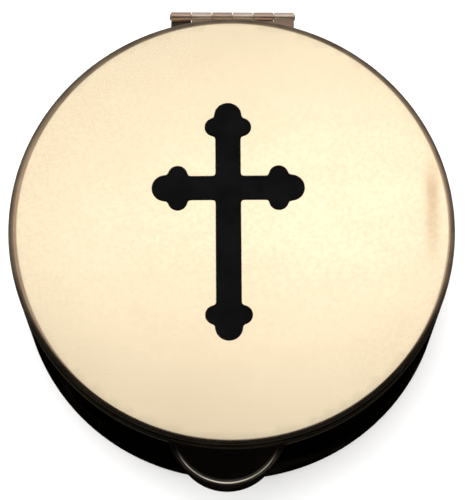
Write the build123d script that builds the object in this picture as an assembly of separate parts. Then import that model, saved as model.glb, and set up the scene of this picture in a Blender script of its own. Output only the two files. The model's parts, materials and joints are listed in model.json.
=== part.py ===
from build123d import *
from math import hypot
import os

# Round pyx: a drawn brass box for carrying hosts, with a hinged lid and a black enamel cross.
#
# The box stands on its underside. Origin: centre of the underside. +Z is up, the hinge is at +Y
# and the thumb lips are at -Y. All sizes are in millimetres, and each piece gets its own STEP file.

# Whole box
outer_radius = 38.1          # 3 in across, lid and base alike
overall_height = 31.75       # 1 1/4 in to the crown of the lid
lid_height = 5.25            # from the seam to the crown
seam_gap = 0.1               # daylight between the lid's edge and the base's edge

# Sheet thicknesses
base_wall = 0.8
base_floor = 0.8
lining_sheet = 0.5           # gilt lining of the base
lid_lining_sheet = 0.45
rim_clearance = 0.15         # between the friction rim and the lid's skirt

# Drawn corners
crown_rise = 0.35            # the lid's top is a very flat dome
lid_edge_radius = 1.0
base_foot_radius = 1.2
lining_corner_radius = 2.4
sheet_edge_break = 0.12      # the sheared edges at the seam are eased

# Friction rim: the top of the lining, which the lid's skirt slides over
rim_headroom = 2.85          # from the crown of the lid down to the rim's top
rim_bead_stand = 0.08        # a bead round the rim gives the lid its snap
rim_bead_radius = 0.25
lid_lining_gap = 0.4         # between the rim and the lid's lining

# Cross, let into the lid's top by hand: a little off the middle plane and a little askew
cross_centre_x = -0.6        # the crossing, from the lid's centre
cross_centre_y = 6.5         # towards the hinge
cross_turn = 0.6             # degrees, anticlockwise
cross_top_arm = 15.5
cross_side_arm = 13.1
cross_foot_arm = 26.9
cross_arm_width = 4.3
end_lobe_radius = 2.35
side_lobe_radius = 1.68
side_lobe_offset = 2.35      # from the arm's middle line
side_lobe_setback = 4.45     # from the arm's tip
cross_corner_ease = 0.45
inlay_depth = 0.3            # of the pocket's level floor, where the dome is lowest
inlay_sink = 0.04            # of the enamel's level top, at the same place

# Hinge
hinge_width = 21.8
knuckle_count = 6            # odd ones belong to the base, even ones to the lid
knuckle_gap = 0.1
barrel_radius = 0.9
hinge_standoff = 2.1         # from the wall to the hinge's axis
leaf_sheet = 0.7
leaf_clearance = 0.1         # between a leaf's edge and the other leaf's knuckles
pin_radius = 0.45
pin_running_clearance = 0.03
pin_head_radius = 0.62
pin_head_length = 0.22
pin_end_play = 0.05

# Thumb lips
lip_sheet = 0.8
lip_slope = 28.0             # degrees, downwards and outwards
lip_centre_x = -0.6          # both lips sit a little to one side
lid_lip_radius = 9.4         # of the half moon, to the middle of its round edge
lid_lip_reach = 5.9          # from the wall, along the slope, to the same line
lid_lip_edge_radius = 0.6    # thicker than the sheet: a rolled bead
lid_lip_rise = 0.7           # of the lip's middle above the seam, at the wall
base_lip_radius = 8.3
base_lip_reach = 6.5
base_lip_edge_radius = 0.4
base_lip_drop = 1.35         # of the lip's middle below the seam, at the wall

# Worked out from the above
seam_z = overall_height - lid_height
base_top_z = seam_z - seam_gap / 2
lid_bottom_z = seam_z + seam_gap / 2
lid_wall = base_wall - rim_clearance
lining_radius = outer_radius - base_wall
skirt_inner_radius = outer_radius - lid_wall
rim_top_z = overall_height - rim_headroom
crown_radius = (outer_radius**2 + crown_rise**2) / (2 * crown_rise)
cross_reach = hypot(cross_centre_x, max(cross_centre_y + cross_top_arm, cross_foot_arm - cross_centre_y))
hinge_y = outer_radius + hinge_standoff
knuckle_length = (hinge_width - (knuckle_count - 1) * knuckle_gap) / knuckle_count
knuckle_pitch = knuckle_length + knuckle_gap
leaf_edge_y = hinge_y - barrel_radius - leaf_clearance


def lathe(profile):
    """The solid that a profile drawn in (radius, height) makes about Z."""
    return revolve(Plane.XZ * profile, Axis.Z)


def crown_z(radius, depth=0.0):
    """Height of a surface that lies depth below the lid's top, out at a radius."""
    ball = crown_radius - depth
    return overall_height - crown_radius + (ball**2 - radius**2) ** 0.5


def crown_arc(radius, depth=0.0):
    """That surface's profile, from the axis out to a radius."""
    return RadiusArc((0, crown_z(0, depth)), (radius, crown_z(radius, depth)), crown_radius - depth)


def corner(face, radius, height):
    """The vertex of a profile nearest to a point."""
    return face.vertices().sort_by_distance((radius, height, 0))[0]


def base_shell():
    """Drawn cup with an upright wall."""
    profile = make_face(Polyline(
        (0, 0), (outer_radius, 0), (outer_radius, base_top_z), (lining_radius, base_top_z),
        (lining_radius, base_floor), (0, base_floor), close=True))
    profile = fillet(corner(profile, outer_radius, 0), base_foot_radius)
    profile = fillet(corner(profile, lining_radius, base_floor), base_foot_radius - base_wall / 2)
    edges = [corner(profile, outer_radius, base_top_z), corner(profile, lining_radius, base_top_z)]
    return lathe(chamfer(edges, sheet_edge_break))


def base_lining():
    """Gilt cup inside the base. Its top stands above the seam as the friction rim, with a snap bead."""
    inner_radius = lining_radius - lining_sheet
    inner_floor = base_floor + lining_sheet
    profile = make_face(Polyline(
        (0, base_floor), (lining_radius, base_floor), (lining_radius, rim_top_z),
        (inner_radius, rim_top_z), (inner_radius, inner_floor), (0, inner_floor), close=True))
    profile = fillet(corner(profile, lining_radius, base_floor), lining_corner_radius)
    profile = fillet(corner(profile, inner_radius, inner_floor), lining_corner_radius - lining_sheet)
    profile = fillet(corner(profile, lining_radius, rim_top_z), lining_sheet * 0.45)
    profile = fillet(corner(profile, inner_radius, rim_top_z), lining_sheet * 0.45)
    bead_middle = lining_radius + rim_bead_stand - rim_bead_radius
    profile += Pos(bead_middle, (seam_z + rim_top_z) / 2) * Circle(rim_bead_radius)
    return lathe(profile)


def cross_outline():
    """Cross whose four arms end in trefoils, flat on the plan with its crossing in place."""
    outline = Sketch()
    arms = ((cross_side_arm, 0), (cross_top_arm, 90), (cross_side_arm, 180), (cross_foot_arm, 270))
    for length, turn in arms:
        straight = length - end_lobe_radius
        arm = Pos(straight / 2, 0) * Rectangle(straight, cross_arm_width)
        arm += Pos(straight, 0) * Circle(end_lobe_radius)
        for side in (-1, 1):
            arm += Pos(length - side_lobe_setback, side * side_lobe_offset) * Circle(side_lobe_radius)
        outline += Rot(0, 0, turn) * arm
    outline += Rectangle(cross_arm_width, cross_arm_width)
    outline = fillet(outline.vertices(), cross_corner_ease)
    return Pos(cross_centre_x, cross_centre_y) * Rot(0, 0, cross_turn) * outline


def cross_prism(bottom_z, top_z):
    """Upright prism on the cross's outline."""
    return Pos(0, 0, bottom_z) * extrude(cross_outline(), top_z - bottom_z)


def lid_shell():
    """Drawn cap with a flat-domed top, a round edge and a short skirt, and the cross's pocket in it."""
    top_edge_z = crown_z(outer_radius)
    inner_edge_z = crown_z(skirt_inner_radius, lid_wall)
    outline = [
        crown_arc(outer_radius),
        Line((outer_radius, top_edge_z), (outer_radius, lid_bottom_z)),
        Line((outer_radius, lid_bottom_z), (skirt_inner_radius, lid_bottom_z)),
        Line((skirt_inner_radius, lid_bottom_z), (skirt_inner_radius, inner_edge_z)),
        crown_arc(skirt_inner_radius, lid_wall),
        Line((0, crown_z(0, lid_wall)), (0, crown_z(0))),
    ]
    profile = make_face(Curve() + outline)
    profile = fillet(corner(profile, outer_radius, top_edge_z), lid_edge_radius)
    profile = fillet(corner(profile, skirt_inner_radius, inner_edge_z), lid_edge_radius - lid_wall)
    edges = [corner(profile, outer_radius, lid_bottom_z), corner(profile, skirt_inner_radius, lid_bottom_z)]
    shell = lathe(chamfer(edges, sheet_edge_break))
    return shell - cross_prism(crown_z(cross_reach, inlay_depth), overall_height + lid_height)


def cross_inlay():
    """Black enamel that fills the cross's pocket to a level top."""
    return cross_prism(crown_z(cross_reach, inlay_depth), crown_z(cross_reach, inlay_sink))


def lid_lining():
    """Gilt pan pressed up inside the lid, with a short wall that stops above the friction rim."""
    bottom_z = rim_top_z + lid_lining_gap
    inner_radius = skirt_inner_radius - lid_lining_sheet
    lower_depth = lid_wall + lid_lining_sheet
    outline = [
        crown_arc(skirt_inner_radius, lid_wall),
        Line((skirt_inner_radius, crown_z(skirt_inner_radius, lid_wall)), (skirt_inner_radius, bottom_z)),
        Line((skirt_inner_radius, bottom_z), (inner_radius, bottom_z)),
        Line((inner_radius, bottom_z), (inner_radius, crown_z(inner_radius, lower_depth))),
        crown_arc(inner_radius, lower_depth),
        Line((0, crown_z(0, lower_depth)), (0, crown_z(0, lid_wall))),
    ]
    profile = make_face(Curve() + outline)
    outer_corner = corner(profile, skirt_inner_radius, crown_z(skirt_inner_radius, lid_wall))
    profile = fillet(outer_corner, lid_edge_radius - lid_wall + 0.1)
    inner_corner = corner(profile, inner_radius, crown_z(inner_radius, lower_depth))
    return lathe(fillet(inner_corner, lid_lining_sheet))


def knuckle_x(number):
    """Middle of a knuckle, the first being number 1 at the -X end."""
    return (number - (knuckle_count + 1) / 2) * knuckle_pitch


def barrel(radius, length):
    """Round bar on the hinge's axis, centred on the box's middle plane."""
    return Pos(0, hinge_y, seam_z) * Rot(0, 90, 0) * Cylinder(radius, length)


def knuckle(number, bore_radius):
    """Short tube of the hinge's barrel."""
    tube = barrel(barrel_radius, knuckle_length) - barrel(bore_radius, 2 * knuckle_length)
    return Pos(knuckle_x(number), 0, 0) * tube


def hinge_leaf(numbers, low_z):
    """Flat bracket soldered to the wall, with a tongue to each of its knuckles."""
    first_x = knuckle_x(min(numbers)) - knuckle_length / 2
    last_x = knuckle_x(max(numbers)) + knuckle_length / 2
    numbers_between = range(min(numbers), max(numbers) + 1)
    middle_x, wide = (first_x + last_x) / 2, last_x - first_x
    plan = Pos(middle_x, leaf_edge_y / 2) * Rectangle(wide, leaf_edge_y)
    for number in numbers_between:
        if number in numbers:
            plan += Pos(knuckle_x(number), hinge_y / 2) * Rectangle(knuckle_length, hinge_y)
    plan -= Circle(outer_radius)
    plate = Pos(0, 0, low_z) * extrude(plan, leaf_sheet)
    return plate - barrel(barrel_radius, 2 * hinge_width)


def hinge_pin():
    """Pin with a head spread at each end, fast in the base's knuckles."""
    head_x = hinge_width / 2 + pin_end_play
    pin = barrel(pin_radius, 2 * head_x)
    for side in (-1, 1):
        head = Pos(side * (head_x + pin_head_length / 2), 0, 0) * barrel(pin_head_radius, pin_head_length)
        outer_rim = head.edges().sort_by(Axis.X)[-1 if side > 0 else 0]
        pin += fillet(outer_rim, pin_head_length * 0.8)
    return pin


def thumb_lip(middle_z, reach, radius, edge_radius):
    """Half-moon plate with a round edge, sloping down and outwards from the wall."""
    plate = Cylinder(radius, lip_sheet) + Torus(radius, edge_radius)
    at_wall = Pos(lip_centre_x, -outer_radius, middle_z) * Rot(lip_slope, 0, 0)
    inside = Pos(0, 0, overall_height / 2) * Cylinder(outer_radius, 2 * overall_height)
    return at_wall * Pos(0, radius - reach, 0) * Rot(0, 0, 90) * plate - inside


base_knuckles = range(1, knuckle_count + 1, 2)
lid_knuckles = range(2, knuckle_count + 1, 2)
pieces = {
    "base_shell": base_shell(),
    "base_lining": base_lining(),
    "base_hinge_leaf": hinge_leaf(base_knuckles, base_top_z - leaf_sheet),
    "base_thumb_lip": thumb_lip(
        seam_z - base_lip_drop, base_lip_reach, base_lip_radius, base_lip_edge_radius),
    "hinge_pin": hinge_pin(),
    "lid_shell": lid_shell(),
    "lid_lining": lid_lining(),
    "lid_hinge_leaf": hinge_leaf(lid_knuckles, lid_bottom_z),
    "lid_thumb_lip": thumb_lip(
        seam_z + lid_lip_rise, lid_lip_reach, lid_lip_radius, lid_lip_edge_radius),
    "cross_inlay": cross_inlay(),
}
for number in base_knuckles:
    pieces[f"base_knuckle_{number}"] = knuckle(number, pin_radius)
for number in lid_knuckles:
    pieces[f"lid_knuckle_{number}"] = knuckle(number, pin_radius + pin_running_clearance)

os.makedirs("parts", exist_ok=True)
for name, piece in pieces.items():
    export_step(piece, f"parts/{name}.step")
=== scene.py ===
"""A round brass pyx with an enamelled cross on its hinged lid, on a pale studio floor."""

import json
from math import acos, asin, atan2, ceil, cos, hypot, pi, radians, sin, sqrt

import bmesh
import bpy
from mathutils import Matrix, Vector
from mathutils.geometry import delaunay_2d_cdt


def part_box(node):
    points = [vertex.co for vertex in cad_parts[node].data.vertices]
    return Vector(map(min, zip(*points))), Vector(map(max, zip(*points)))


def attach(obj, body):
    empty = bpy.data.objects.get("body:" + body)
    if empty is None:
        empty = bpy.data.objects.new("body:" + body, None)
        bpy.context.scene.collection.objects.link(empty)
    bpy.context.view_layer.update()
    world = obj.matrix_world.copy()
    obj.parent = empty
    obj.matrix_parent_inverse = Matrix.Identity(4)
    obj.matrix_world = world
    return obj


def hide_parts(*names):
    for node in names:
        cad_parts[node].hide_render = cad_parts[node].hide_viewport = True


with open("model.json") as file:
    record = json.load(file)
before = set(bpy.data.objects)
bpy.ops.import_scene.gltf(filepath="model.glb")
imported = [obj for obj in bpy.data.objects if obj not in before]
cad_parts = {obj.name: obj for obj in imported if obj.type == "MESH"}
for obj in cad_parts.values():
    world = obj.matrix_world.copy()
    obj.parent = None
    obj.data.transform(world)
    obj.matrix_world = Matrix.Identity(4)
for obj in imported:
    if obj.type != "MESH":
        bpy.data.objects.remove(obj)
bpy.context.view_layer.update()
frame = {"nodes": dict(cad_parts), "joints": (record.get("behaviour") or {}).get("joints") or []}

MM = 0.001

# Places that the frame gives
lid_low, lid_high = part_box("lid_shell")
base_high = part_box("base_shell")[1]
rim_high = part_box("base_lining")[1]
pan_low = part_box("lid_lining")[0]
inlay_low, inlay_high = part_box("cross_inlay")
hinge = Vector(frame["joints"][0]["pos_m"])
outer_radius = lid_high.x
crown_top = lid_high.z
seam_z = (lid_low.z + base_high.z) / 2

# Sheets and drawn corners
base_wall = 0.8 * MM
base_floor = 0.8 * MM
rim_clearance = 0.15 * MM
lid_wall = base_wall - rim_clearance
lining_sheet = 0.5 * MM
pan_sheet = 0.45 * MM
crown_rise = 0.35 * MM
lid_edge_radius = 1.0 * MM
foot_radius = 1.2 * MM
lining_corner_radius = 2.4 * MM
hem_radius = 0.2 * MM
bead_radius = 0.25 * MM
bead_stand = 0.08 * MM
sunk = 0.3 * MM                      # soldered pieces reach this far into the wall behind them

# Cross
crossing_x = -0.6 * MM
crossing_y = 6.5 * MM
cross_turn = radians(0.6)
side_arm = 13.1 * MM
top_arm = 15.5 * MM
foot_arm = 26.9 * MM
arm_half_width = 2.15 * MM
end_lobe_radius = 2.35 * MM
side_lobe_radius = 1.68 * MM
side_lobe_offset = 2.35 * MM
side_lobe_setback = 4.45 * MM
outline_step = 0.2 * MM
outline_eases = 7                    # rounds of smoothing, which ease the inner corners
pocket_chamfer = 0.07 * MM
enamel_gap = 0.01 * MM
meniscus_height = 0.035 * MM
meniscus_width = 0.35 * MM

# Hinge
bore_radius = 0.45 * MM
running_clearance = 0.03 * MM        # between the pin and the lid's knuckles, which turn on it
knuckle_chamfer = 0.08 * MM
pin_head_length = 0.22 * MM
curl_seam_depth = 0.1 * MM
curl_seam_angle = 0.16               # radians, half the seam's width
leaf_bevel = 0.1 * MM
leaf_clearance = 0.1 * MM            # between a leaf's edge and the other leaf's knuckles
tongue_overlap = 0.38 * MM           # how far a tongue runs into its knuckle's wall

# Thumb lips
lip_centre_x = -0.6 * MM
lid_lip_reach = 5.9 * MM
lid_lip_radius = 9.4 * MM
lid_lip_edge_radius = 0.6 * MM
lid_lip_rise = 0.7 * MM              # of its middle above the seam, at the wall
base_lip_reach = 6.5 * MM
base_lip_radius = 8.3 * MM
base_lip_edge_radius = 0.4 * MM
base_lip_drop = 1.35 * MM            # of its middle below the seam, at the wall
lip_sheet = 0.8 * MM
lip_slope = radians(28)
solder_radius = 0.3 * MM
highlight_inset = 0.15 * MM             # of the painted highlight line, from the middle of the round edge

# Meshing
turn_steps = 240
lid_grid = 1.6 * MM
enamel_grid = 0.45 * MM
row_share = 0.866                    # a grid's row height in steps, for even triangles
sharp_angle = radians(32)


# ---------------------------------------------------------------- mesh helpers

def arc(centre, radius, start, end, steps):
    """Points of an arc in a (radius, height) plane; angles in radians from the radius axis."""
    turns = [start + (end - start) * k / steps for k in range(steps + 1)]
    return [(centre[0] + radius * cos(a), centre[1] + radius * sin(a)) for a in turns]


def lathe(profile, closed=False, steps=turn_steps):
    """Vertices and faces of a profile of (radius, height) points turned about Z."""
    verts, rings = [], []
    for radius, height in profile:
        count = 1 if radius < 1e-9 else steps
        rings.append([len(verts) + k for k in range(count)])
        verts += [(radius * cos(2 * pi * k / steps), radius * sin(2 * pi * k / steps), height)
                  for k in range(count)]
    pairs = list(zip(rings, rings[1:]))
    if closed:
        pairs.append((rings[-1], rings[0]))
    faces = []
    for a, b in pairs:
        for k in range(steps):
            quad = [a[k % len(a)], a[(k + 1) % len(a)], b[(k + 1) % len(b)], b[k % len(b)]]
            faces.append(tuple(dict.fromkeys(quad)))
    return verts, [f for f in faces if len(f) > 2]


def piece(name, body, material, parts, bevel=0.0):
    """One closed object from (vertices, faces) parts, riding on a body and standing for a CAD node."""
    mesh = bpy.data.meshes.new(name)
    bm = bmesh.new()
    for verts, faces in parts:
        made = [bm.verts.new(v) for v in verts]
        for face in faces:
            bm.faces.new([made[k] for k in face])
    bmesh.ops.remove_doubles(bm, verts=bm.verts, dist=0.002 * MM)
    bmesh.ops.recalc_face_normals(bm, faces=bm.faces)
    if bevel:
        edges = [e for e in bm.edges if len(e.link_faces) == 2 and e.calc_face_angle() > sharp_angle]
        bmesh.ops.bevel(bm, geom=edges, offset=bevel, segments=3, profile=0.5, affect="EDGES")
    bm.to_mesh(mesh)
    bm.free()
    mesh.shade_smooth()
    mesh.set_sharp_from_angle(angle=sharp_angle)
    thing = bpy.data.objects.new(name, mesh)
    bpy.context.scene.collection.objects.link(thing)
    mesh.materials.append(material)
    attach(thing, body)
    return thing


# ---------------------------------------------------------------- materials

class Nodes:
    """Short forms for building one material's node tree."""

    def __init__(self, name):
        self.material = bpy.data.materials.new(name)
        self.material.use_nodes = True
        self.tree = self.material.node_tree
        self.shader = self.tree.nodes["Principled BSDF"]
        self.place = self.add("ShaderNodeTexCoord").outputs["Object"]

    def add(self, kind, **settings):
        made = self.tree.nodes.new(kind)
        for key, value in settings.items():
            setattr(made, key, value)
        return made

    def link(self, source, socket):
        self.tree.links.new(source, socket)

    def math(self, operation, a, b=0.0):
        made = self.add("ShaderNodeMath", operation=operation)
        for socket, value in zip(made.inputs, (a, b)):
            if isinstance(value, (int, float)):
                socket.default_value = value
            else:
                self.link(value, socket)
        return made.outputs[0]

    def length(self, x, y):
        return self.math("SQRT", self.math("ADD", self.math("MULTIPLY", x, x), self.math("MULTIPLY", y, y)))

    def stretched(self, scale, turn=(0, 0, 0), source=None):
        made = self.add("ShaderNodeMapping")
        made.inputs["Scale"].default_value = scale
        made.inputs["Rotation"].default_value = turn
        self.link(source or self.place, made.inputs["Vector"])
        return made.outputs[0]

    def noise(self, vector, scale, detail=3.0, roughness=0.5, distortion=0.0):
        made = self.add("ShaderNodeTexNoise")
        made.inputs["Scale"].default_value = scale
        made.inputs["Detail"].default_value = detail
        made.inputs["Roughness"].default_value = roughness
        made.inputs["Distortion"].default_value = distortion
        self.link(vector, made.inputs["Vector"])
        return made.outputs["Fac"]

    def remap(self, value, low, high, to_low, to_high, smooth=True):
        made = self.add("ShaderNodeMapRange", interpolation_type="SMOOTHSTEP" if smooth else "LINEAR")
        for key, number in (("From Min", low), ("From Max", high), ("To Min", to_low), ("To Max", to_high)):
            made.inputs[key].default_value = number
        self.link(value, made.inputs["Value"])
        return made.outputs["Result"]

    def mix(self, factor, a, b):
        made = self.add("ShaderNodeMix", data_type="RGBA")
        self.link(factor, made.inputs["Factor"])
        for key, colour in (("A", a), ("B", b)):
            socket = [s for s in made.inputs if s.name == key and s.type == "RGBA"][0]
            if isinstance(colour, tuple):
                socket.default_value = (*colour, 1)
            else:
                self.link(colour, socket)
        return [s for s in made.outputs if s.type == "RGBA"][0]

    def bump(self, height, depth, below=None):
        made = self.add("ShaderNodeBump")
        made.inputs["Strength"].default_value = 1.0
        made.inputs["Distance"].default_value = depth
        self.link(height, made.inputs["Height"])
        if below:
            self.link(below, made.inputs["Normal"])
        return made.outputs["Normal"]

    def round_coordinates(self):
        """A vector of (angle, height, radius) about the box's axis, each in a scale of its own."""
        split = self.add("ShaderNodeSeparateXYZ")
        self.link(self.place, split.inputs[0])
        x, y, z = split.outputs
        angle = self.math("ARCTAN2", y, x)
        radius = self.length(x, y)
        joined = self.add("ShaderNodeCombineXYZ")
        for source, socket in zip((angle, z, radius), joined.inputs):
            self.link(source, socket)
        return joined.outputs[0], radius

    def near(self, axis, middle, inner, outer):
        """1 within the inner distance of a place along an axis, fading to 0 at the outer distance."""
        split = self.add("ShaderNodeSeparateXYZ")
        self.link(self.place, split.inputs[0])
        away = self.math("ABSOLUTE", self.math("SUBTRACT", split.outputs[axis], middle))
        return self.remap(away, inner, outer, 1.0, 0.0)

    def painted_highlight_mask(self):
        """Mask of a painted highlight: 1 along the top of the upper lip's round edge, fading out where the
        lip meets the wall.
        """
        split = self.add("ShaderNodeSeparateXYZ")
        self.link(self.place, split.inputs[0])
        middle_y = -outer_radius + (lid_lip_radius - lid_lip_reach) * cos(lip_slope)
        x = self.math("SUBTRACT", split.outputs["X"], lip_centre_x)
        y = self.math("DIVIDE", self.math("SUBTRACT", split.outputs["Y"], middle_y), cos(lip_slope))
        away = self.length(x, y)
        off_line = self.math("ABSOLUTE", self.math("SUBTRACT", away, lid_lip_radius - highlight_inset))
        line = self.remap(off_line, 0.35 * MM, 0.60 * MM, 1.0, 0.0)
        return self.math("MULTIPLY", line, self.near(1, -outer_radius - lid_lip_reach, 3.0 * MM, 6.0 * MM))

    def hairlines(self, turns, scale=(260, 9000, 9000)):
        """Sparse fine scratches in several directions, 0 to 1."""
        total = None
        for turn in turns:
            lines = self.noise(self.stretched(scale, (0, 0, turn)), 1.0, detail=1.0)
            lines = self.remap(lines, 0.70, 0.78, 0.0, 1.0)
            total = lines if total is None else self.math("MAXIMUM", total, lines)
        return total


def satin_brass():
    """Pale gold lid: fine satin, a faint cloudiness, a darker brown streak at one side, and painted shade in
    dark brown on the round edge.
    """
    m = Nodes("satin_brass")
    _, radius = m.round_coordinates()
    clouds = m.noise(m.place, 38, detail=4, roughness=0.55)
    colour = m.mix(m.remap(clouds, 0.3, 0.7, 0, 1), (0.885, 0.735, 0.515), (0.920, 0.775, 0.550))
    lines = m.hairlines((0.35, 1.4, 2.5))
    colour = m.mix(m.math("MULTIPLY", lines, 0.10), colour, (0.70, 0.55, 0.36))
    uneven = m.noise(m.place, 190, detail=3)
    # Darker brown streak in the colour, running front to back near the right side of the lid.
    streak_x, streak_y = 34.2 * MM, 3.0 * MM
    streak = m.math("MULTIPLY", m.near(0, streak_x, 0.2 * MM, 1.9 * MM),
                   m.near(1, streak_y, 2.0 * MM, 12.0 * MM))
    streak = m.math("MULTIPLY", streak, m.remap(uneven, 0.3, 0.7, 0.6, 1.0))
    colour = m.mix(m.math("MULTIPLY", streak, 0.85), colour, (0.60, 0.43, 0.27))
    # Painted shade: dark brown on the lid's round edge stands for the edge's dark reflection. It reaches
    # further in behind and on the left side.
    start = outer_radius - lid_edge_radius
    behind = m.near(1, outer_radius, outer_radius + 8 * MM, outer_radius + 32 * MM)
    beside = m.near(0, -outer_radius, 0.0, 32 * MM)
    reach = m.math("ADD", m.math("MULTIPLY", behind, 0.40 * MM), m.math("MULTIPLY", beside, 0.30 * MM))
    inwards = m.math("ADD", radius, reach)
    at_edge = m.remap(inwards, start + 0.05 * MM, start + 0.40 * MM, 0.0, 1.0)
    above_skirt = m.near(2, crown_top, 1.35 * MM, 2.1 * MM)
    painted_edge_shade = m.math("MULTIPLY", at_edge, above_skirt)
    painted_edge_shade = m.math("MULTIPLY", painted_edge_shade, m.remap(uneven, 0.3, 0.7, 0.85, 1.0))
    # The painted shade is darkest at the outermost edge and towards the hinge.
    outermost = m.remap(radius, outer_radius - 0.90 * MM, outer_radius - 0.30 * MM, 0.0, 1.0)
    by_hinge = m.near(1, outer_radius, 12 * MM, 34 * MM)
    darkest = m.math("MAXIMUM", outermost, m.math("MULTIPLY", by_hinge, 0.75))
    brown = m.mix(darkest, (0.44, 0.30, 0.20), (0.125, 0.095, 0.065))
    m.link(m.mix(painted_edge_shade, colour, brown), m.shader.inputs["Base Color"])
    m.link(m.remap(at_edge, 0.0, 1.0, 0.84, 1.0), m.shader.inputs["Metallic"])
    grain = m.noise(m.place, 1500, detail=2)
    satin = m.remap(grain, 0.3, 0.7, 0.19, 0.23)
    cloudy = m.remap(m.noise(m.stretched((22, 60, 22), (0, 0, 0.5)), 1.0, detail=3), 0.45, 0.75, 0.0, -0.03)
    m.link(m.math("ADD", satin, cloudy), m.shader.inputs["Roughness"])
    soft = m.bump(grain, 0.00012 * MM)
    m.link(m.bump(lines, -0.0006 * MM, soft), m.shader.inputs["Normal"])
    return m.material


def polished_brass(name, colour, dark, roughness, wear=0.0, highlight_colour=None):
    """Polished brass: spun lines round the box, smudges, hairlines and, if asked, a painted highlight along a
    lip's round edge.
    """
    m = Nodes(name)
    m.shader.inputs["Metallic"].default_value = 1.0
    vector, _ = m.round_coordinates()
    spun = m.noise(m.stretched((1.2, 6500, 6500), source=vector), 1.0, detail=2)
    smudge = m.noise(m.place, 75, detail=5, roughness=0.6, distortion=0.6)
    smudge = m.remap(smudge, 0.48, 0.70, 0.0, 1.0)
    lines = m.hairlines((0.2, 1.1), scale=(300, 8000, 3000))
    shade = m.math("ADD", m.math("MULTIPLY", smudge, 0.5), m.math("MULTIPLY", lines, 0.3))
    base = m.mix(shade, colour, dark)
    # Painted highlight: a bright line mixed into the colour along the upper lip's round edge.
    if highlight_colour:
        base = m.mix(m.painted_highlight_mask(), base, highlight_colour)
    m.link(base, m.shader.inputs["Base Color"])
    dull = m.math("MULTIPLY", smudge, 0.10 + wear)
    spread = m.remap(spun, 0.3, 0.7, roughness - 0.02, roughness + 0.03)
    m.link(m.math("ADD", spread, dull), m.shader.inputs["Roughness"])
    soft = m.bump(spun, 0.0004 * MM)
    m.link(m.bump(lines, -0.0010 * MM, soft), m.shader.inputs["Normal"])
    return m.material


def gilt():
    """Bright gilt lining with rings left by the spinning tool."""
    m = Nodes("gilt")
    m.shader.inputs["Metallic"].default_value = 1.0
    vector, _ = m.round_coordinates()
    rings = m.noise(m.stretched((0.8, 3800, 3800), source=vector), 1.0, detail=3)
    clouds = m.remap(m.noise(m.place, 60, detail=4), 0.35, 0.7, 0, 1)
    m.link(m.mix(clouds, (0.96, 0.74, 0.36), (0.90, 0.66, 0.30)), m.shader.inputs["Base Color"])
    m.link(m.remap(rings, 0.3, 0.7, 0.14, 0.24), m.shader.inputs["Roughness"])
    m.link(m.bump(rings, 0.0012 * MM), m.shader.inputs["Normal"])
    return m.material


def drawn_steel():
    """Hinge pin of drawn wire."""
    m = Nodes("drawn_steel")
    m.shader.inputs["Metallic"].default_value = 1.0
    lines = m.noise(m.stretched((400, 9000, 9000)), 1.0, detail=3)
    m.link(m.mix(lines, (0.50, 0.47, 0.43), (0.68, 0.65, 0.60)), m.shader.inputs["Base Color"])
    m.link(m.remap(lines, 0.3, 0.7, 0.24, 0.38), m.shader.inputs["Roughness"])
    m.link(m.bump(lines, 0.001 * MM), m.shader.inputs["Normal"])
    return m.material


def black_enamel():
    """Glossy black enamel with a slight unevenness and a few pinholes."""
    m = Nodes("black_enamel")
    m.shader.inputs["IOR"].default_value = 1.5
    m.shader.inputs["Specular IOR Level"].default_value = 0.04
    clouds = m.remap(m.noise(m.place, 160, detail=3), 0.35, 0.7, 0, 1)
    m.link(m.mix(clouds, (0.0012, 0.0012, 0.0014), (0.0022, 0.0022, 0.0024)), m.shader.inputs["Base Color"])
    m.link(m.remap(m.noise(m.place, 420, detail=4), 0.35, 0.7, 0.16, 0.30), m.shader.inputs["Roughness"])
    holes = m.add("ShaderNodeTexVoronoi")
    holes.inputs["Scale"].default_value = 420
    m.link(m.place, holes.inputs["Vector"])
    pits = m.remap(holes.outputs["Distance"], 0.0, 0.09, -1.0, 0.0)
    waves = m.bump(m.noise(m.place, 520, detail=2), 0.004 * MM)
    m.link(m.bump(pits, 0.006 * MM, waves), m.shader.inputs["Normal"])
    return m.material


lid_finish = satin_brass()
wall_finish = polished_brass("polished_brass", (0.80, 0.62, 0.38), (0.62, 0.45, 0.26), 0.09)
fitting_finish = polished_brass("fitting_brass", (0.98, 0.80, 0.67), (0.74, 0.57, 0.45), 0.34, wear=0.02)
worn_finish = polished_brass("worn_brass", (0.76, 0.56, 0.44), (0.48, 0.33, 0.24), 0.34, wear=0.04)
# Painted shade: both hinge leaves are darkened brass, standing for the shade and dark reflections under the
# barrel. The lower base leaf is near black.
lid_leaf_shaded_finish = polished_brass("lid_leaf_shaded_brass", (0.33, 0.23, 0.17), (0.18, 0.12, 0.08), 0.28, wear=0.08)
base_leaf_shaded_finish = polished_brass("base_leaf_shaded_brass", (0.07, 0.05, 0.038), (0.03, 0.024, 0.02), 0.30,
                                  wear=0.08)
# Painted shade: the thumb lips' brass is near black, standing for the dark reflections on their tops.
lip_shaded_finish = polished_brass("lip_brass_painted_shade", (0.065, 0.050, 0.038), (0.05, 0.036, 0.025), 0.11,
                            highlight_colour=(0.86, 0.75, 0.64))
gilt_finish = gilt()
steel_finish = drawn_steel()
enamel_finish = black_enamel()


# ---------------------------------------------------------------- lid

crown_radius = (outer_radius**2 + crown_rise**2) / (2 * crown_rise)
crown_centre = crown_top - crown_radius
corner_radius_at = outer_radius - lid_edge_radius
corner_z = crown_centre + sqrt((crown_radius - lid_edge_radius) ** 2 - corner_radius_at**2)
corner_tilt = asin(corner_radius_at / (crown_radius - lid_edge_radius))


def crown_z(radius, depth=0.0):
    """Height of the surface that lies depth under the lid's top."""
    return crown_centre + sqrt((crown_radius - depth) ** 2 - radius**2)


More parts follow.
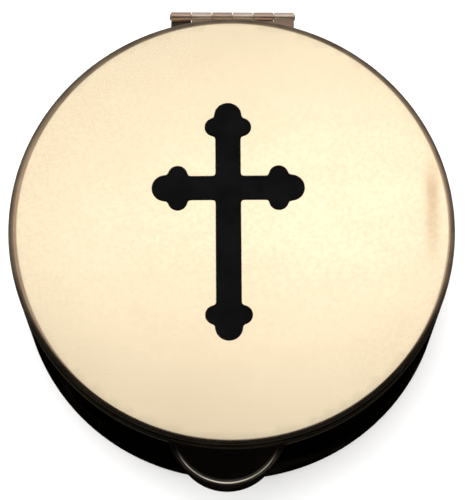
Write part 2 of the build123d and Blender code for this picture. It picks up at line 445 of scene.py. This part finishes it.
def dome_profile(depth, reach, rings):
    """Points of that surface from a radius in to the axis."""
    radii = [reach * (1 - k / rings) for k in range(rings + 1)]
    return [(r, crown_z(r, depth)) for r in radii]


def circles_meet(a, ra, b, rb):
    """The meeting point of two circles that lies on the left going from a to b."""
    dx, dy = b[0] - a[0], b[1] - a[1]
    gap = hypot(dx, dy)
    along = (gap**2 + ra**2 - rb**2) / (2 * gap)
    aside = sqrt(ra**2 - along**2)
    return (a[0] + (dx * along - dy * aside) / gap, a[1] + (dy * along + dx * aside) / gap)


def half_arm(length):
    """Left edge of an arm that points along +X, from the crossing's corner to the tip."""
    side, end = (length - side_lobe_setback, side_lobe_offset), (length - end_lobe_radius, 0.0)
    start = pi + asin((side_lobe_offset - arm_half_width) / side_lobe_radius)
    notch = circles_meet(side, side_lobe_radius, end, end_lobe_radius)
    on_side = atan2(notch[1] - side[1], notch[0] - side[0])
    on_end = atan2(notch[1] - end[1], notch[0] - end[0])
    edge = [(arm_half_width, arm_half_width)]
    edge += arc(side, side_lobe_radius, start, on_side, 40)
    return edge + arc(end, end_lobe_radius, on_end, 0.0, 40)[1:]


def even_steps(points, step):
    """A closed outline resampled at equal steps."""
    closed = points + points[:1]
    lengths = [0.0]
    for a, b in zip(closed, closed[1:]):
        lengths.append(lengths[-1] + hypot(b[0] - a[0], b[1] - a[1]))
    count = ceil(lengths[-1] / step)
    found, k = [], 0
    for n in range(count):
        want = lengths[-1] * n / count
        while lengths[k + 1] < want:
            k += 1
        part = (want - lengths[k]) / max(lengths[k + 1] - lengths[k], 1e-12)
        a, b = closed[k], closed[k + 1]
        found.append((a[0] + (b[0] - a[0]) * part, a[1] + (b[1] - a[1]) * part))
    return found


def cross_outline():
    """Eased outline of the cross, anticlockwise."""
    outline = []
    for quarter, length in enumerate((side_arm, top_arm, side_arm, foot_arm)):
        left = half_arm(length)
        right = [(x, -y) for x, y in left]
        turn = quarter * pi / 2 + cross_turn
        for x, y in right[1:] + left[::-1][1:]:
            outline.append((crossing_x + x * cos(turn) - y * sin(turn),
                            crossing_y + x * sin(turn) + y * cos(turn)))
    outline = even_steps(outline, outline_step)
    for _ in range(outline_eases):
        outline = [((a[0] + 2 * b[0] + c[0]) / 4, (a[1] + 2 * b[1] + c[1]) / 4)
                   for a, b, c in zip(outline[-1:] + outline[:-1], outline, outline[1:] + outline[:1])]
    return outline


def offset(outline, distance):
    """The outline moved outwards."""
    moved = []
    for a, b, c in zip(outline[-1:] + outline[:-1], outline, outline[1:] + outline[:1]):
        dx, dy = c[0] - a[0], c[1] - a[1]
        size = hypot(dx, dy)
        moved.append((b[0] + dy / size * distance, b[1] - dx / size * distance))
    return moved


def inside(point, outline):
    """Whether a point lies in a closed outline."""
    x, y = point
    found = False
    for (ax, ay), (bx, by) in zip(outline, outline[1:] + outline[:1]):
        if (ay > y) != (by > y) and x < ax + (y - ay) * (bx - ax) / (by - ay):
            found = not found
    return found


def edge_distance(point, outline):
    """Distance to the nearest point of an outline."""
    return min(hypot(point[0] - x, point[1] - y) for x, y in outline)


def triangulated(loops, inner_points, wanted):
    """Triangles over outlines and inner points, kept where wanted(middle) is true."""
    points, edges = [], []
    for loop in loops:
        first = len(points)
        points += loop
        edges += [(first + k, first + (k + 1) % len(loop)) for k in range(len(loop))]
    points += inner_points
    found = delaunay_2d_cdt([Vector(p) for p in points], edges, [], 0, 1e-9)
    flat = [(v[0], v[1]) for v in found[0]]
    kept = []
    for face in found[2]:
        middle = (sum(flat[k][0] for k in face) / 3, sum(flat[k][1] for k in face) / 3)
        if wanted(middle):
            kept.append(tuple(face))
    return flat, kept


def grid(step, low, high):
    """Points of a staggered grid over a rectangle."""
    rows = ceil((high[1] - low[1]) / (step * row_share))
    columns = ceil((high[0] - low[0]) / step)
    return [(low[0] + step * (k + 0.5 * (j % 2)), low[1] + step * row_share * j)
            for j in range(rows + 1) for k in range(columns + 1)]


def strip(upper, lower):
    """Band of faces between two loops of the same number of points."""
    count = len(upper)
    faces = [(k, (k + 1) % count, count + (k + 1) % count, count + k) for k in range(count)]
    return list(upper) + list(lower), faces


cross = cross_outline()


def lid_cap():
    """Drawn cap: domed top with the cross's pocket, round edge, skirt and hem."""
    brim = offset(cross, pocket_chamfer)
    reach = corner_radius_at + lid_edge_radius * sin(corner_tilt)
    ring = [(reach * cos(2 * pi * k / turn_steps), reach * sin(2 * pi * k / turn_steps))
            for k in range(turn_steps)]
    near = 0.5 * MM
    inner = [p for p in grid(lid_grid, (-reach, -reach), (reach, reach))
             if hypot(*p) < reach - near and not inside(p, brim) and edge_distance(p, brim) > near]
    flat, top = triangulated([ring, brim], inner, lambda middle: not inside(middle, brim))
    top_part = ([(x, y, crown_z(hypot(x, y))) for x, y in flat], top)
    floor_z = inlay_low.z
    brim_loop = [(x, y, crown_z(hypot(x, y))) for x, y in brim]
    wall_loop = [(x, y, crown_z(hypot(x, y)) - pocket_chamfer) for x, y in cross]
    floor_loop = [(x, y, floor_z) for x, y in cross]
    flat, floor = triangulated([cross], [], lambda middle: inside(middle, cross))
    floor_part = ([(x, y, floor_z) for x, y in flat], floor)
    centre = (corner_radius_at, corner_z)
    hem = hem_radius
    inner_radius = outer_radius - lid_wall
    profile = arc(centre, lid_edge_radius, pi / 2 - corner_tilt, 0.0, 18)
    profile += arc((outer_radius - hem, lid_low.z + hem), hem, 0.0, -pi / 2, 5)
    profile += arc((inner_radius + hem, lid_low.z + hem), hem, -pi / 2, -pi, 5)
    profile += arc(centre, lid_edge_radius - lid_wall, 0.0, pi / 2 - corner_tilt, 10)
    under = corner_radius_at + (lid_edge_radius - lid_wall) * sin(corner_tilt)
    profile += dome_profile(lid_wall, under, 8)[1:]
    parts = [top_part, strip(brim_loop, wall_loop), strip(wall_loop, floor_loop), floor_part, lathe(profile)]
    made = piece("lid_cap", "lid", lid_finish, parts)
    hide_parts("lid_shell")


def enamel_cross():
    """Black enamel filling the pocket, drawn up a little at its edge."""
    outline = offset(cross, -enamel_gap)
    low, high = (inlay_low.x, inlay_low.y), (inlay_high.x, inlay_high.y)
    inner = [p for p in grid(enamel_grid, low, high)
             if inside(p, outline) and edge_distance(p, outline) > 0.3 * enamel_grid]
    flat, top = triangulated([outline], inner, lambda middle: inside(middle, outline))
    level = inlay_high.z - meniscus_height
    heights = []
    for k, point in enumerate(flat):
        away = edge_distance(point, outline) if k >= len(outline) else 0.0
        rise = max(0.0, 1 - away / meniscus_width)
        heights.append(level + meniscus_height * rise**2)
    top_part = ([(x, y, z) for (x, y), z in zip(flat, heights)], top)
    flat, bottom = triangulated([outline], [], lambda middle: inside(middle, outline))
    bottom_part = ([(x, y, inlay_low.z) for x, y in flat], bottom)
    upper = [(x, y, inlay_high.z) for x, y in outline]
    lower = [(x, y, inlay_low.z) for x, y in outline]
    made = piece("enamel_cross", "lid", enamel_finish,
                 [top_part, bottom_part, strip(upper, lower)])
    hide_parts("cross_inlay")


def lid_pan():
    """Gilt pan inside the lid."""
    wall_radius = outer_radius - lid_wall
    inner_radius = wall_radius - pan_sheet
    outer_corner = lid_edge_radius - lid_wall + 0.1 * MM
    hem = pan_sheet / 2
    outer_z = crown_z(wall_radius, lid_wall) - outer_corner
    inner_z = crown_z(inner_radius, lid_wall + pan_sheet) - pan_sheet
    profile = dome_profile(lid_wall, wall_radius - outer_corner, 8)[::-1]
    profile += arc((wall_radius - outer_corner, outer_z), outer_corner, pi / 2, 0.0, 8)[1:]
    profile += arc((wall_radius - hem, pan_low.z + hem), hem, 0.0, -pi, 8)
    profile += arc((inner_radius - pan_sheet, inner_z), pan_sheet, 0.0, pi / 2, 6)
    profile += dome_profile(lid_wall + pan_sheet, inner_radius - pan_sheet, 12)[1:]
    made = piece("lid_pan", "lid", gilt_finish, [lathe(profile)])
    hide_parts("lid_lining")


# ---------------------------------------------------------------- base

def base_cup():
    """Drawn cup with a round foot and an eased hem."""
    hem = hem_radius
    inner_radius = outer_radius - base_wall
    inner_foot = foot_radius - base_wall / 2
    profile = [(0.0, 0.0), (outer_radius * 0.5, 0.0)]
    profile += arc((outer_radius - foot_radius, foot_radius), foot_radius, -pi / 2, 0.0, 14)
    profile += arc((outer_radius - hem, base_high.z - hem), hem, 0.0, pi / 2, 5)
    profile += arc((inner_radius + hem, base_high.z - hem), hem, pi / 2, pi, 5)
    profile += arc((inner_radius - inner_foot, base_floor + inner_foot), inner_foot, 0.0, -pi / 2, 8)
    profile += [(outer_radius * 0.5, base_floor), (0.0, base_floor)]
    made = piece("base_cup", "base", wall_finish, [lathe(profile)])
    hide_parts("base_shell")


def base_liner():
    """Gilt cup whose top is the friction rim, with a snap bead round it."""
    outside = outer_radius - base_wall
    inner = outside - lining_sheet
    low_z, floor_z, top_z = base_floor, base_floor + lining_sheet, rim_high.z
    big, small = lining_corner_radius, lining_corner_radius - lining_sheet
    lip = lining_sheet / 2
    bead_at = (outside + bead_stand - bead_radius, (seam_z + top_z) / 2)
    bead_half = acos((bead_radius - bead_stand) / bead_radius)
    profile = [(0.0, low_z), (outside * 0.5, low_z)]
    profile += arc((outside - big, low_z + big), big, -pi / 2, 0.0, 12)
    profile += arc(bead_at, bead_radius, -bead_half, bead_half, 8)
    profile += arc((outside - lip, top_z - lip), lip, 0.0, pi, 10)
    profile += arc((inner - small, floor_z + small), small, 0.0, -pi / 2, 12)
    profile += [(inner * k / 12, floor_z) for k in range(11, -1, -1)]
    made = piece("base_liner", "base", gilt_finish, [lathe(profile)])
    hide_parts("base_lining")


# ---------------------------------------------------------------- hinge

def tube_about_hinge(profile, seam_at=None):
    """A closed (radius, x) profile turned about the hinge's axis, with a curl seam if asked."""
    steps = 72
    verts, faces = [], []
    for k in range(steps):
        angle = 2 * pi * k / steps
        dip = 0.0
        if seam_at is not None:
            off = atan2(sin(angle - seam_at), cos(angle - seam_at)) / curl_seam_angle
            dip = curl_seam_depth * max(0.0, 1 - off * off)
        for radius, x in profile:
            r = radius - (dip if radius > bore_radius * 1.3 else 0.0)
            verts.append((x, hinge.y + r * cos(angle), hinge.z + r * sin(angle)))
    count = len(profile)
    for k in range(steps):
        for j in range(count):
            a, b = k * count, (k + 1) % steps * count
            faces.append((a + j, a + (j + 1) % count, b + (j + 1) % count, b + j))
    return verts, faces


def knuckle(node, body, finish, above):
    """One curled knuckle with eased ends; its curl closes against its own leaf."""
    low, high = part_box(node)
    radius = (high.z - low.z) / 2
    ease = knuckle_chamfer
    bore = bore_radius + (running_clearance if body == "lid" else 0.0)
    profile = [(bore, low.x), (radius - ease, low.x)]
    profile += arc((radius - ease, low.x + ease), ease, -pi / 2, 0.0, 4)[1:]
    profile += arc((radius - ease, high.x - ease), ease, 0.0, pi / 2, 4)
    profile.append((bore, high.x))
    seam_at = pi * (1.02 if above else 0.98)
    made = piece(node + "_curl", body, finish, [tube_about_hinge(profile, seam_at)])
    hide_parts(node)


def leaf(node, body, knuckles, finish):
    """Bracket on the wall with a tongue to each of its knuckles."""
    low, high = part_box(node)
    spans = [(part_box(k)[0].x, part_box(k)[1].x) for k in knuckles]
    foot = outer_radius - sunk
    barrel = (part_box(knuckles[0])[1].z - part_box(knuckles[0])[0].z) / 2
    plate_y = hinge.y - barrel - leaf_clearance
    tongue_y = hinge.y - barrel + tongue_overlap
    half_arc = [asin(low.x / foot), asin(high.x / foot)]
    outline = [(foot * sin(a), foot * cos(a))
               for a in (half_arc[0] + (half_arc[1] - half_arc[0]) * k / 24 for k in range(25))]
    for start, end in reversed(spans):
        outline += [(end, plate_y), (end, tongue_y), (start, tongue_y), (start, plate_y)]
    clean = []
    for point in outline:
        if not clean or hypot(point[0] - clean[-1][0], point[1] - clean[-1][1]) > 0.01 * MM:
            clean.append(point)
    on_edge = [p for k, p in enumerate(clean) if not redundant(clean, k)]
    upper = [(x, y, high.z) for x, y in on_edge]
    lower = [(x, y, low.z) for x, y in on_edge]
    verts, faces = strip(upper, lower)
    count = len(on_edge)
    faces += [tuple(range(count)), tuple(range(count, 2 * count))]
    made = piece(node + "_plate", body, finish, [(verts, faces)], bevel=leaf_bevel)
    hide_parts(node)


def redundant(outline, k):
    """Whether a point of an outline lies on the straight line between its neighbours."""
    a, b, c = outline[k - 1], outline[k], outline[(k + 1) % len(outline)]
    area = (b[0] - a[0]) * (c[1] - a[1]) - (b[1] - a[1]) * (c[0] - a[0])
    return abs(area) < (0.001 * MM) ** 2


def pin():
    """Pin with a spread, domed head at each end."""
    low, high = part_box("hinge_pin")
    head_radius = (high.z - low.z) / 2
    profile = []
    for end, inward in ((low.x, 1), (high.x, -1)):
        head = [(0.0, end), (head_radius * 0.45, end + inward * 0.02 * MM)]
        head += [(head_radius * 0.80, end + inward * 0.08 * MM), (head_radius, end + inward * 0.17 * MM)]
        head += [(head_radius, end + inward * pin_head_length), (bore_radius, end + inward * pin_head_length)]
        profile += head if inward > 0 else head[::-1]
    steps = 48
    verts, faces = [], []
    for radius, x in profile:
        for k in range(steps):
            angle = 2 * pi * k / steps
            verts.append((x, hinge.y + radius * cos(angle), hinge.z + radius * sin(angle)))
    for j in range(len(profile) - 1):
        for k in range(steps):
            a, b = j * steps, (j + 1) * steps
            faces.append((a + k, a + (k + 1) % steps, b + (k + 1) % steps, b + k))
    made = piece("pin_and_heads", "base", steel_finish, [(verts, faces)])
    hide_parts("hinge_pin")


# ---------------------------------------------------------------- thumb lips

def lip(node, body, finish, middle_z, reach, radius, edge_radius, solder_above):
    """Half-moon plate with a round edge, sloping down from the wall it is soldered to."""
    slope_cos, slope_sin = cos(lip_slope), sin(lip_slope)
    wall = outer_radius - sunk
    setback = radius - reach
    half = lip_sheet / 2

    def start_of(turn):
        """Where a ray from the half moon's centre leaves the wall."""
        middle = outer_radius - setback * slope_cos
        a = sin(turn) ** 2 + (cos(turn) * slope_cos) ** 2
        b = 2 * (cos(turn) * slope_cos * middle + sin(turn) * lip_centre_x)
        return (-b + sqrt(b * b - 4 * a * (middle**2 + lip_centre_x**2 - wall**2))) / (2 * a)

    low, high = 0.0, pi / 2
    for _ in range(40):
        turn = (low + high) / 2
        low, high = (turn, high) if start_of(turn) < radius else (low, turn)
    widest = low
    columns, plate_rows, edge_rows = 96, 8, 22
    crease = asin(min(1.0, half / edge_radius))
    verts = []
    for column in range(columns + 1):
        turn = widest * (2 * column / columns - 1)
        begin = start_of(turn)
        end = max(begin, radius - edge_radius * cos(crease))
        section = [(begin + (end - begin) * (k / plate_rows) ** 1.5, half) for k in range(plate_rows)]
        section += arc((radius, 0.0), edge_radius, pi - crease, crease - pi, edge_rows)
        section += [(d, -h) for d, h in section[:plate_rows][::-1]]
        for distance, height in section:
            x = lip_centre_x + distance * sin(turn)
            along = distance * cos(turn) - setback
            y = -outer_radius - along * slope_cos - height * slope_sin
            z = middle_z - along * slope_sin + height * slope_cos
            away = hypot(x, y)
            grow = max(0.0, 1 - (away - outer_radius) / solder_radius) if away > wall else 1.0
            fillet = solder_radius * (1 - sqrt(max(0.0, 1 - min(1.0, grow) ** 2)))
            if (height > 0) == solder_above and abs(height) > half * 0.99:
                z += fillet if solder_above else -fillet
            if away < wall:
                x, y = x * wall / away, y * wall / away
            verts.append((x, y, z))
    count = len(section)
    faces = []
    for column in range(columns):
        a, b = column * count, (column + 1) * count
        faces += [(a + k, a + (k + 1) % count, b + (k + 1) % count, b + k) for k in range(count)]
    faces += [tuple(range(count)), tuple(columns * count + k for k in range(count))]
    made = piece(node + "_moon", body, finish, [(verts, faces)])
    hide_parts(node)


lid_cap()
enamel_cross()
lid_pan()
base_cup()
base_liner()
base_knuckles = sorted(n for n in frame["nodes"] if n.startswith("base_knuckle"))
lid_knuckles = sorted(n for n in frame["nodes"] if n.startswith("lid_knuckle"))
for node in base_knuckles:
    knuckle(node, "base", worn_finish, above=False)
for node in lid_knuckles:
    knuckle(node, "lid", fitting_finish, above=True)
leaf("base_hinge_leaf", "base", base_knuckles, base_leaf_shaded_finish)
leaf("lid_hinge_leaf", "lid", lid_knuckles, lid_leaf_shaded_finish)
pin()
lip("lid_thumb_lip", "lid", lip_shaded_finish, seam_z + lid_lip_rise,
    lid_lip_reach, lid_lip_radius, lid_lip_edge_radius, solder_above=True)
lip("base_thumb_lip", "base", lip_shaded_finish, seam_z - base_lip_drop,
    base_lip_reach, base_lip_radius, base_lip_edge_radius, solder_above=False)


# ---------------------------------------------------------------- floor, light and camera

def floor():
    """Pale sheet that the box stands on. Polished metal doesn't mirror it: the sky below does that."""
    half = 3.0
    mesh = bpy.data.meshes.new("floor")
    corners = [(-half, -half, 0), (half, -half, 0), (half, half, 0), (-half, half, 0)]
    mesh.from_pydata(corners, [], [(0, 1, 2, 3)])
    sheet = bpy.data.objects.new("floor", mesh)
    bpy.context.scene.collection.objects.link(sheet)
    sheet.visible_glossy = False
    m = Nodes("floor")
    tone = m.noise(m.place, 3, detail=2)
    m.link(m.mix(tone, (0.93, 0.93, 0.93), (0.95, 0.95, 0.95)), m.shader.inputs["Base Color"])
    m.shader.inputs["Roughness"].default_value = 1.0
    m.shader.inputs["Specular IOR Level"].default_value = 0.0
    mesh.materials.append(m.material)


def studio():
    """White room for the eye and for matt things, and for gloss a soft box overhead in a dark room."""
    world = bpy.data.worlds.new("studio")
    bpy.context.scene.world = world
    world.use_nodes = True
    tree = world.node_tree
    tree.nodes.clear()
    add, link = tree.nodes.new, tree.links.new

    def value(operation, *inputs):
        made = add("ShaderNodeMath")
        made.operation = operation
        for socket, source in zip(made.inputs, inputs):
            if isinstance(source, (int, float)):
                socket.default_value = source
            else:
                link(source, socket)
        return made.outputs[0]

    def ramp(source, low, high, to_low, to_high):
        made = add("ShaderNodeMapRange")
        made.interpolation_type = "SMOOTHSTEP"
        for key, number in (("From Min", low), ("From Max", high), ("To Min", to_low), ("To Max", to_high)):
            made.inputs[key].default_value = number
        link(source, made.inputs["Value"])
        return made.outputs["Result"]

    direction = add("ShaderNodeTexCoord").outputs["Generated"]
    split = add("ShaderNodeSeparateXYZ")
    link(direction, split.inputs[0])
    elevation = value("ARCSINE", split.outputs["Z"])

    x, y = split.outputs["X"], split.outputs["Y"]
    fore = ramp(y, -0.02, 0.14, 0.0, 1.0)
    aft = ramp(y, 0.50, 0.82, 1.0, 0.0)
    sides = ramp(value("ABSOLUTE", x), 0.34, 0.64, 1.0, 0.0)
    box = value("MULTIPLY", value("MULTIPLY", fore, aft), sides)
    hot_x, hot_y, hot_width, hot_depth = 0.04, 0.31, 0.42, 0.17
    across = value("DIVIDE", value("SUBTRACT", x, hot_x), hot_width)
    along = value("DIVIDE", value("SUBTRACT", y, hot_y), hot_depth)
    spread = value("SQRT", value("ADD", value("MULTIPLY", across, across), value("MULTIPLY", along, along)))
    hot = ramp(spread, 0.0, 1.0, 1.10, 0.0)
    overhead = ramp(elevation, 0.0, radians(25), 0.0, 1.0)
    lamps = value("MULTIPLY", value("MULTIPLY_ADD", box, 0.50, hot), overhead)

    rising = ramp(elevation, radians(-60), radians(-15), 0.0, 1.0)
    falling = ramp(elevation, radians(40), radians(62), 1.0, 0.0)
    around = value("ADD", ramp(y, -0.25, 0.25, 0.02, 0.50), ramp(y, 0.45, 0.85, 0.0, -0.12))
    walls = value("MULTIPLY", value("MULTIPLY", rising, falling), around)
    beneath = ramp(elevation, radians(-38), radians(-24), 0.0, 1.0)
    level = ramp(elevation, radians(-8), radians(2), 1.0, 0.0)
    band = value("MULTIPLY", beneath, level)
    low_light = value("MULTIPLY_ADD", band, ramp(y, 0.45, 0.85, 0.05, 0.25), walls)
    gloss = value("ADD", lamps, low_light)

    path = add("ShaderNodeLightPath")
    dark_room = add("ShaderNodeBackground")
    link(gloss, dark_room.inputs["Strength"])
    dark_room.inputs["Color"].default_value = (1.0, 0.985, 0.96, 1)
    white_room = add("ShaderNodeBackground")
    white_room.inputs["Color"].default_value = (1.0, 1.0, 1.0, 1)
    white_room.inputs["Strength"].default_value = 1.45
    mix = add("ShaderNodeMixShader")
    link(path.outputs["Is Glossy Ray"], mix.inputs["Fac"])
    link(white_room.outputs[0], mix.inputs[1])
    link(dark_room.outputs[0], mix.inputs[2])
    output = add("ShaderNodeOutputWorld")
    link(mix.outputs[0], output.inputs["Surface"])


def soft_box():
    """Large lamp overhead, a little behind the box."""
    lamp = bpy.data.lights.new("soft_box", "AREA")
    lamp.shape = "DISK"
    lamp.size = 0.5
    lamp.energy = 2.2
    holder = bpy.data.objects.new("soft_box", lamp)
    holder.location = (-0.08, 0.15, 0.7)
    holder.rotation_euler = (-holder.location).to_track_quat("-Z", "Y").to_euler()
    holder.visible_glossy = False
    bpy.context.scene.collection.objects.link(holder)


def camera():
    """The photograph's view: high over the thumb lips, from hand distance."""
    distance = 0.3786
    elevation, azimuth = radians(73.2), radians(0.22)
    middle = Vector((0, 0, crown_top / 2))
    away = Vector((sin(azimuth) * cos(elevation), -cos(azimuth) * cos(elevation), sin(elevation)))
    data = bpy.data.cameras.new("camera")
    data.lens = 153.9
    data.sensor_width = 36.0
    data.clip_start = 0.01
    data.shift_x = 0.0018
    data.shift_y = 0.0022
    holder = bpy.data.objects.new("camera", data)
    holder.location = middle + away * distance
    holder.rotation_euler = (-away).to_track_quat("-Z", "Y").to_euler()
    bpy.context.scene.collection.objects.link(holder)
    bpy.context.scene.camera = holder
    bpy.context.scene.view_settings.view_transform = "Standard"


floor()
studio()
soft_box()
camera()
